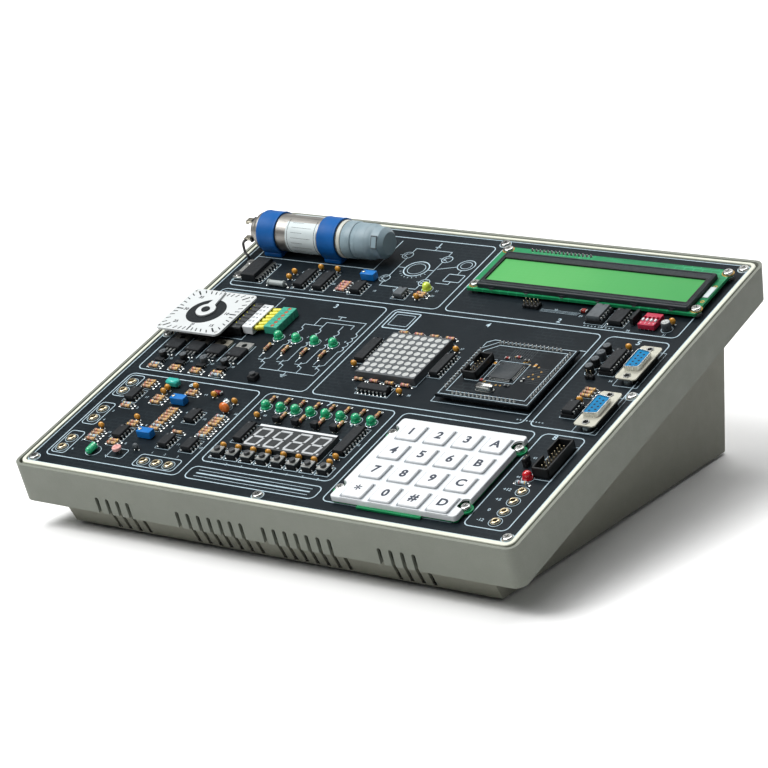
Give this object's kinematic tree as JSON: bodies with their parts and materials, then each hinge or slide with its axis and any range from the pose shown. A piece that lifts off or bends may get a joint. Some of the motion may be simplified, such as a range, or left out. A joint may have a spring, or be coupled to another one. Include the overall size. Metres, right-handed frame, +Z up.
{
  "type": "microcontroller trainer console",
  "caption": "Sloped desk console with a black circuit panel holding a character display, keypad, LED matrix, digits, serial ports, step motor with dial and a DC motor.",
  "frame": {"origin": "centre of the bounding box at the bottom of the feet", "axes": "+X to the right as the user faces the panel, +Y to the back, +Z up; the panel rises to the back at 15 degrees"},
  "size_m": [0.3224, 0.2593, 0.1218],
  "materials": {
    "case_beige": "fine textured paint",
    "bezel_cream": "satin",
    "cover_grey": "matt",
    "rubber": "matt",
    "screw_steel": "bright",
    "panel_black": "satin",
    "board_green": "satin",
    "transformer_iron": "laminated",
    "black_plastic": "satin",
    "wire_pvc": "satin",
    "display_frame": "satin",
    "display_glass": "satin",
    "keypad_white": "satin",
    "matrix_grey": "satin",
    "chip_epoxy": "matt",
    "component_tan": "satin",
    "led_green": "clear",
    "port_metal": "satin",
    "dial_white": "satin",
    "motor_steel": "satin",
    "strap_blue": "satin",
    "cap_grey": "satin",
    "slider_white": "satin"
  },
  "bodies": {
    "case": {"housing": "case_beige", "bezel_frame": "bezel_cream", "base_shell": "case_beige", "bottom_cover": "cover_grey", "feet": "rubber", "screws": "screw_steel", "panel_board": "panel_black", "psu_board": "board_green", "transformer": "transformer_iron", "mains_inlet": "black_plastic", "wiring": "wire_pvc", "lcd_board": "board_green", "lcd_bezel": "display_frame", "lcd_screen": "display_glass", "keypad_plate": "keypad_white", "keypad_board": "board_green", "switch_bodies": "black_plastic", "led_matrix": "matrix_grey", "seven_segment": "matrix_grey", "adapter_board": "panel_black", "chips": "chip_epoxy", "passives": "component_tan", "leds": "led_green", "serial_ports": "port_metal", "connectors": "black_plastic", "stepper_motor": "black_plastic", "dial_plate": "dial_white", "dc_motor": "motor_steel", "motor_straps": "strap_blue", "encoder_cap": "cap_grey"},
    "key_00": {"key_00": "keypad_white"},
    "key_01": {"key_01": "keypad_white"},
    "key_02": {"key_02": "keypad_white"},
    "key_03": {"key_03": "keypad_white"},
    "key_04": {"key_04": "keypad_white"},
    "key_05": {"key_05": "keypad_white"},
    "key_06": {"key_06": "keypad_white"},
    "key_07": {"key_07": "keypad_white"},
    "key_08": {"key_08": "keypad_white"},
    "key_09": {"key_09": "keypad_white"},
    "key_10": {"key_10": "keypad_white"},
    "key_11": {"key_11": "keypad_white"},
    "key_12": {"key_12": "keypad_white"},
    "key_13": {"key_13": "keypad_white"},
    "key_14": {"key_14": "keypad_white"},
    "key_15": {"key_15": "keypad_white"},
    "tact_0": {"tact_0": "slider_white"},
    "tact_1": {"tact_1": "slider_white"},
    "tact_2": {"tact_2": "slider_white"},
    "tact_3": {"tact_3": "slider_white"},
    "tact_4": {"tact_4": "slider_white"},
    "tact_5": {"tact_5": "slider_white"},
    "tact_6": {"tact_6": "slider_white"},
    "tact_7": {"tact_7": "slider_white"},
    "dip_0": {"dip_0": "slider_white"},
    "dip_1": {"dip_1": "slider_white"},
    "dip_2": {"dip_2": "slider_white"},
    "dip_3": {"dip_3": "slider_white"},
    "rocker": {"rocker": "black_plastic"},
    "dial_pointer": {"dial_pointer": "dial_white"}
  },
  "joints": [
    {"name": "press_key_00", "type": "slide", "parent": "case", "child": "key_00", "axis": [0, 0.2588, -0.9659], "range_m": [0, 0.001], "stiffness_N_per_m": 400, "springref_m": -0.001},
    {"name": "press_key_01", "type": "slide", "parent": "case", "child": "key_01", "axis": [0, 0.2588, -0.9659], "range_m": [0, 0.001], "stiffness_N_per_m": 400, "springref_m": -0.001},
    {"name": "press_key_02", "type": "slide", "parent": "case", "child": "key_02", "axis": [0, 0.2588, -0.9659], "range_m": [0, 0.001], "stiffness_N_per_m": 400, "springref_m": -0.001},
    {"name": "press_key_03", "type": "slide", "parent": "case", "child": "key_03", "axis": [0, 0.2588, -0.9659], "range_m": [0, 0.001], "stiffness_N_per_m": 400, "springref_m": -0.001},
    {"name": "press_key_04", "type": "slide", "parent": "case", "child": "key_04", "axis": [0, 0.2588, -0.9659], "range_m": [0, 0.001], "stiffness_N_per_m": 400, "springref_m": -0.001},
    {"name": "press_key_05", "type": "slide", "parent": "case", "child": "key_05", "axis": [0, 0.2588, -0.9659], "range_m": [0, 0.001], "stiffness_N_per_m": 400, "springref_m": -0.001},
    {"name": "press_key_06", "type": "slide", "parent": "case", "child": "key_06", "axis": [0, 0.2588, -0.9659], "range_m": [0, 0.001], "stiffness_N_per_m": 400, "springref_m": -0.001},
    {"name": "press_key_07", "type": "slide", "parent": "case", "child": "key_07", "axis": [0, 0.2588, -0.9659], "range_m": [0, 0.001], "stiffness_N_per_m": 400, "springref_m": -0.001},
    {"name": "press_key_08", "type": "slide", "parent": "case", "child": "key_08", "axis": [0, 0.2588, -0.9659], "range_m": [0, 0.001], "stiffness_N_per_m": 400, "springref_m": -0.001},
    {"name": "press_key_09", "type": "slide", "parent": "case", "child": "key_09", "axis": [0, 0.2588, -0.9659], "range_m": [0, 0.001], "stiffness_N_per_m": 400, "springref_m": -0.001},
    {"name": "press_key_10", "type": "slide", "parent": "case", "child": "key_10", "axis": [0, 0.2588, -0.9659], "range_m": [0, 0.001], "stiffness_N_per_m": 400, "springref_m": -0.001},
    {"name": "press_key_11", "type": "slide", "parent": "case", "child": "key_11", "axis": [0, 0.2588, -0.9659], "range_m": [0, 0.001], "stiffness_N_per_m": 400, "springref_m": -0.001},
    {"name": "press_key_12", "type": "slide", "parent": "case", "child": "key_12", "axis": [0, 0.2588, -0.9659], "range_m": [0, 0.001], "stiffness_N_per_m": 400, "springref_m": -0.001},
    {"name": "press_key_13", "type": "slide", "parent": "case", "child": "key_13", "axis": [0, 0.2588, -0.9659], "range_m": [0, 0.001], "stiffness_N_per_m": 400, "springref_m": -0.001},
    {"name": "press_key_14", "type": "slide", "parent": "case", "child": "key_14", "axis": [0, 0.2588, -0.9659], "range_m": [0, 0.001], "stiffness_N_per_m": 400, "springref_m": -0.001},
    {"name": "press_key_15", "type": "slide", "parent": "case", "child": "key_15", "axis": [0, 0.2588, -0.9659], "range_m": [0, 0.001], "stiffness_N_per_m": 400, "springref_m": -0.001},
    {"name": "press_tact_0", "type": "slide", "parent": "case", "child": "tact_0", "axis": [0, 0.2588, -0.9659], "range_m": [0, 0.0003], "stiffness_N_per_m": 1500, "springref_m": -0.0005},
    {"name": "press_tact_1", "type": "slide", "parent": "case", "child": "tact_1", "axis": [0, 0.2588, -0.9659], "range_m": [0, 0.0003], "stiffness_N_per_m": 1500, "springref_m": -0.0005},
    {"name": "press_tact_2", "type": "slide", "parent": "case", "child": "tact_2", "axis": [0, 0.2588, -0.9659], "range_m": [0, 0.0003], "stiffness_N_per_m": 1500, "springref_m": -0.0005},
    {"name": "press_tact_3", "type": "slide", "parent": "case", "child": "tact_3", "axis": [0, 0.2588, -0.9659], "range_m": [0, 0.0003], "stiffness_N_per_m": 1500, "springref_m": -0.0005},
    {"name": "press_tact_4", "type": "slide", "parent": "case", "child": "tact_4", "axis": [0, 0.2588, -0.9659], "range_m": [0, 0.0003], "stiffness_N_per_m": 1500, "springref_m": -0.0005},
    {"name": "press_tact_5", "type": "slide", "parent": "case", "child": "tact_5", "axis": [0, 0.2588, -0.9659], "range_m": [0, 0.0003], "stiffness_N_per_m": 1500, "springref_m": -0.0005},
    {"name": "press_tact_6", "type": "slide", "parent": "case", "child": "tact_6", "axis": [0, 0.2588, -0.9659], "range_m": [0, 0.0003], "stiffness_N_per_m": 1500, "springref_m": -0.0005},
    {"name": "press_tact_7", "type": "slide", "parent": "case", "child": "tact_7", "axis": [0, 0.2588, -0.9659], "range_m": [0, 0.0003], "stiffness_N_per_m": 1500, "springref_m": -0.0005},
    {"name": "slide_dip_0", "type": "slide", "parent": "case", "child": "dip_0", "axis": [0, 0.9659, 0.2588], "range_m": [0, 0.0021]},
    {"name": "slide_dip_1", "type": "slide", "parent": "case", "child": "dip_1", "axis": [0, 0.9659, 0.2588], "range_m": [0, 0.0021]},
    {"name": "slide_dip_2", "type": "slide", "parent": "case", "child": "dip_2", "axis": [0, 0.9659, 0.2588], "range_m": [0, 0.0021]},
    {"name": "slide_dip_3", "type": "slide", "parent": "case", "child": "dip_3", "axis": [0, 0.9659, 0.2588], "range_m": [0, 0.0021]},
    {"name": "rocker_tilt", "type": "hinge", "parent": "case", "child": "rocker", "pos_m": [-0.0568, 0.12066, 0.036], "axis": [1, 0, 0], "range_deg": [0, 14]},
    {"name": "pointer_turn", "type": "hinge", "parent": "case", "child": "dial_pointer", "pos_m": [-0.1331, 0.01182, 0.08549], "axis": [0, -0.2588, 0.9659], "continuous": true}
  ]
}
